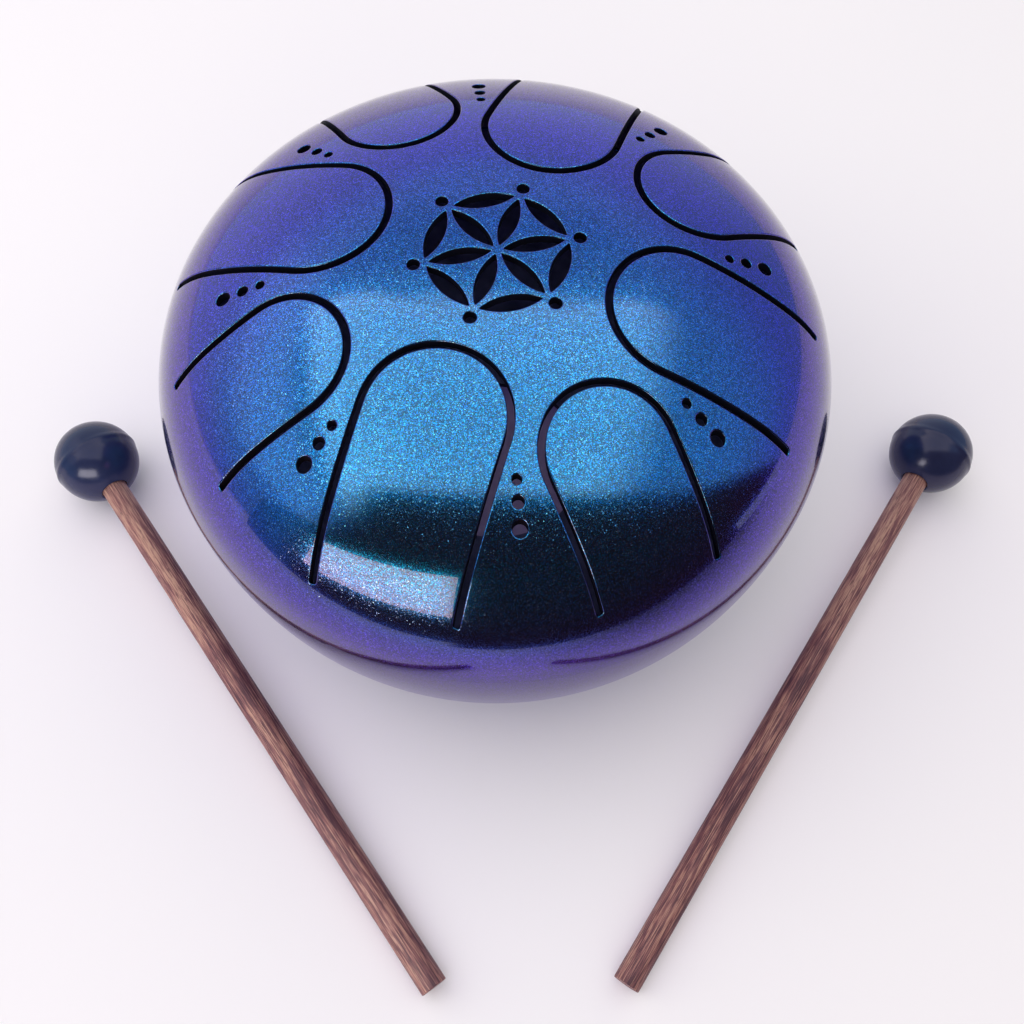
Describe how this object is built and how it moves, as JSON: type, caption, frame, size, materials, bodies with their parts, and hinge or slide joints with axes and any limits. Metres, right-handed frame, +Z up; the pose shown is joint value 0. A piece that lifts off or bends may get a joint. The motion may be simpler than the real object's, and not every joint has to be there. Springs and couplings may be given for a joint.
{
  "type": "steel tongue drum",
  "caption": "Round domed steel drum on small rubber feet, with tongue slots and a petal rosette cut through its top and a sound port below, with ball-headed mallets beside it.",
  "frame": {"origin": "on the drum's axis, on the plane that the drum's feet and the mallets stand on", "axes": "+Z up along the drum's axis, -Y towards the player, +X to the player's right"},
  "size_m": [0.2364, 0.2052, 0.0909],
  "materials": {
    "upper_paint": "glossy metal-flake lacquer over a blue to violet colour-shift coat",
    "lower_paint": "the same metal-flake lacquer, seen more violet at the side",
    "weld_paint": "ground flush and painted over",
    "foot_rubber": "matte",
    "ball_rubber": "smooth moulded rubber with a soft sheen",
    "stick_wood": "reddish-brown hardwood, satin"
  },
  "bodies": {
    "drum": {"upper_shell": "upper_paint", "lower_shell": "lower_paint", "seam_weld": "weld_paint", "foot_back": "foot_rubber", "foot_left": "foot_rubber", "foot_right": "foot_rubber"},
    "mallet_left": {"mallet_left_head": "ball_rubber", "mallet_left_stick": "stick_wood"},
    "mallet_right": {"mallet_right_head": "ball_rubber", "mallet_right_stick": "stick_wood"}
  },
  "joints": [
    {"name": "mallet_left_lift", "type": "slide", "parent": "drum", "child": "mallet_left", "axis": [0, 0, 1], "range_m": [0, 0.12]},
    {"name": "mallet_right_lift", "type": "slide", "parent": "drum", "child": "mallet_right", "axis": [0, 0, 1], "range_m": [0, 0.12]}
  ]
}
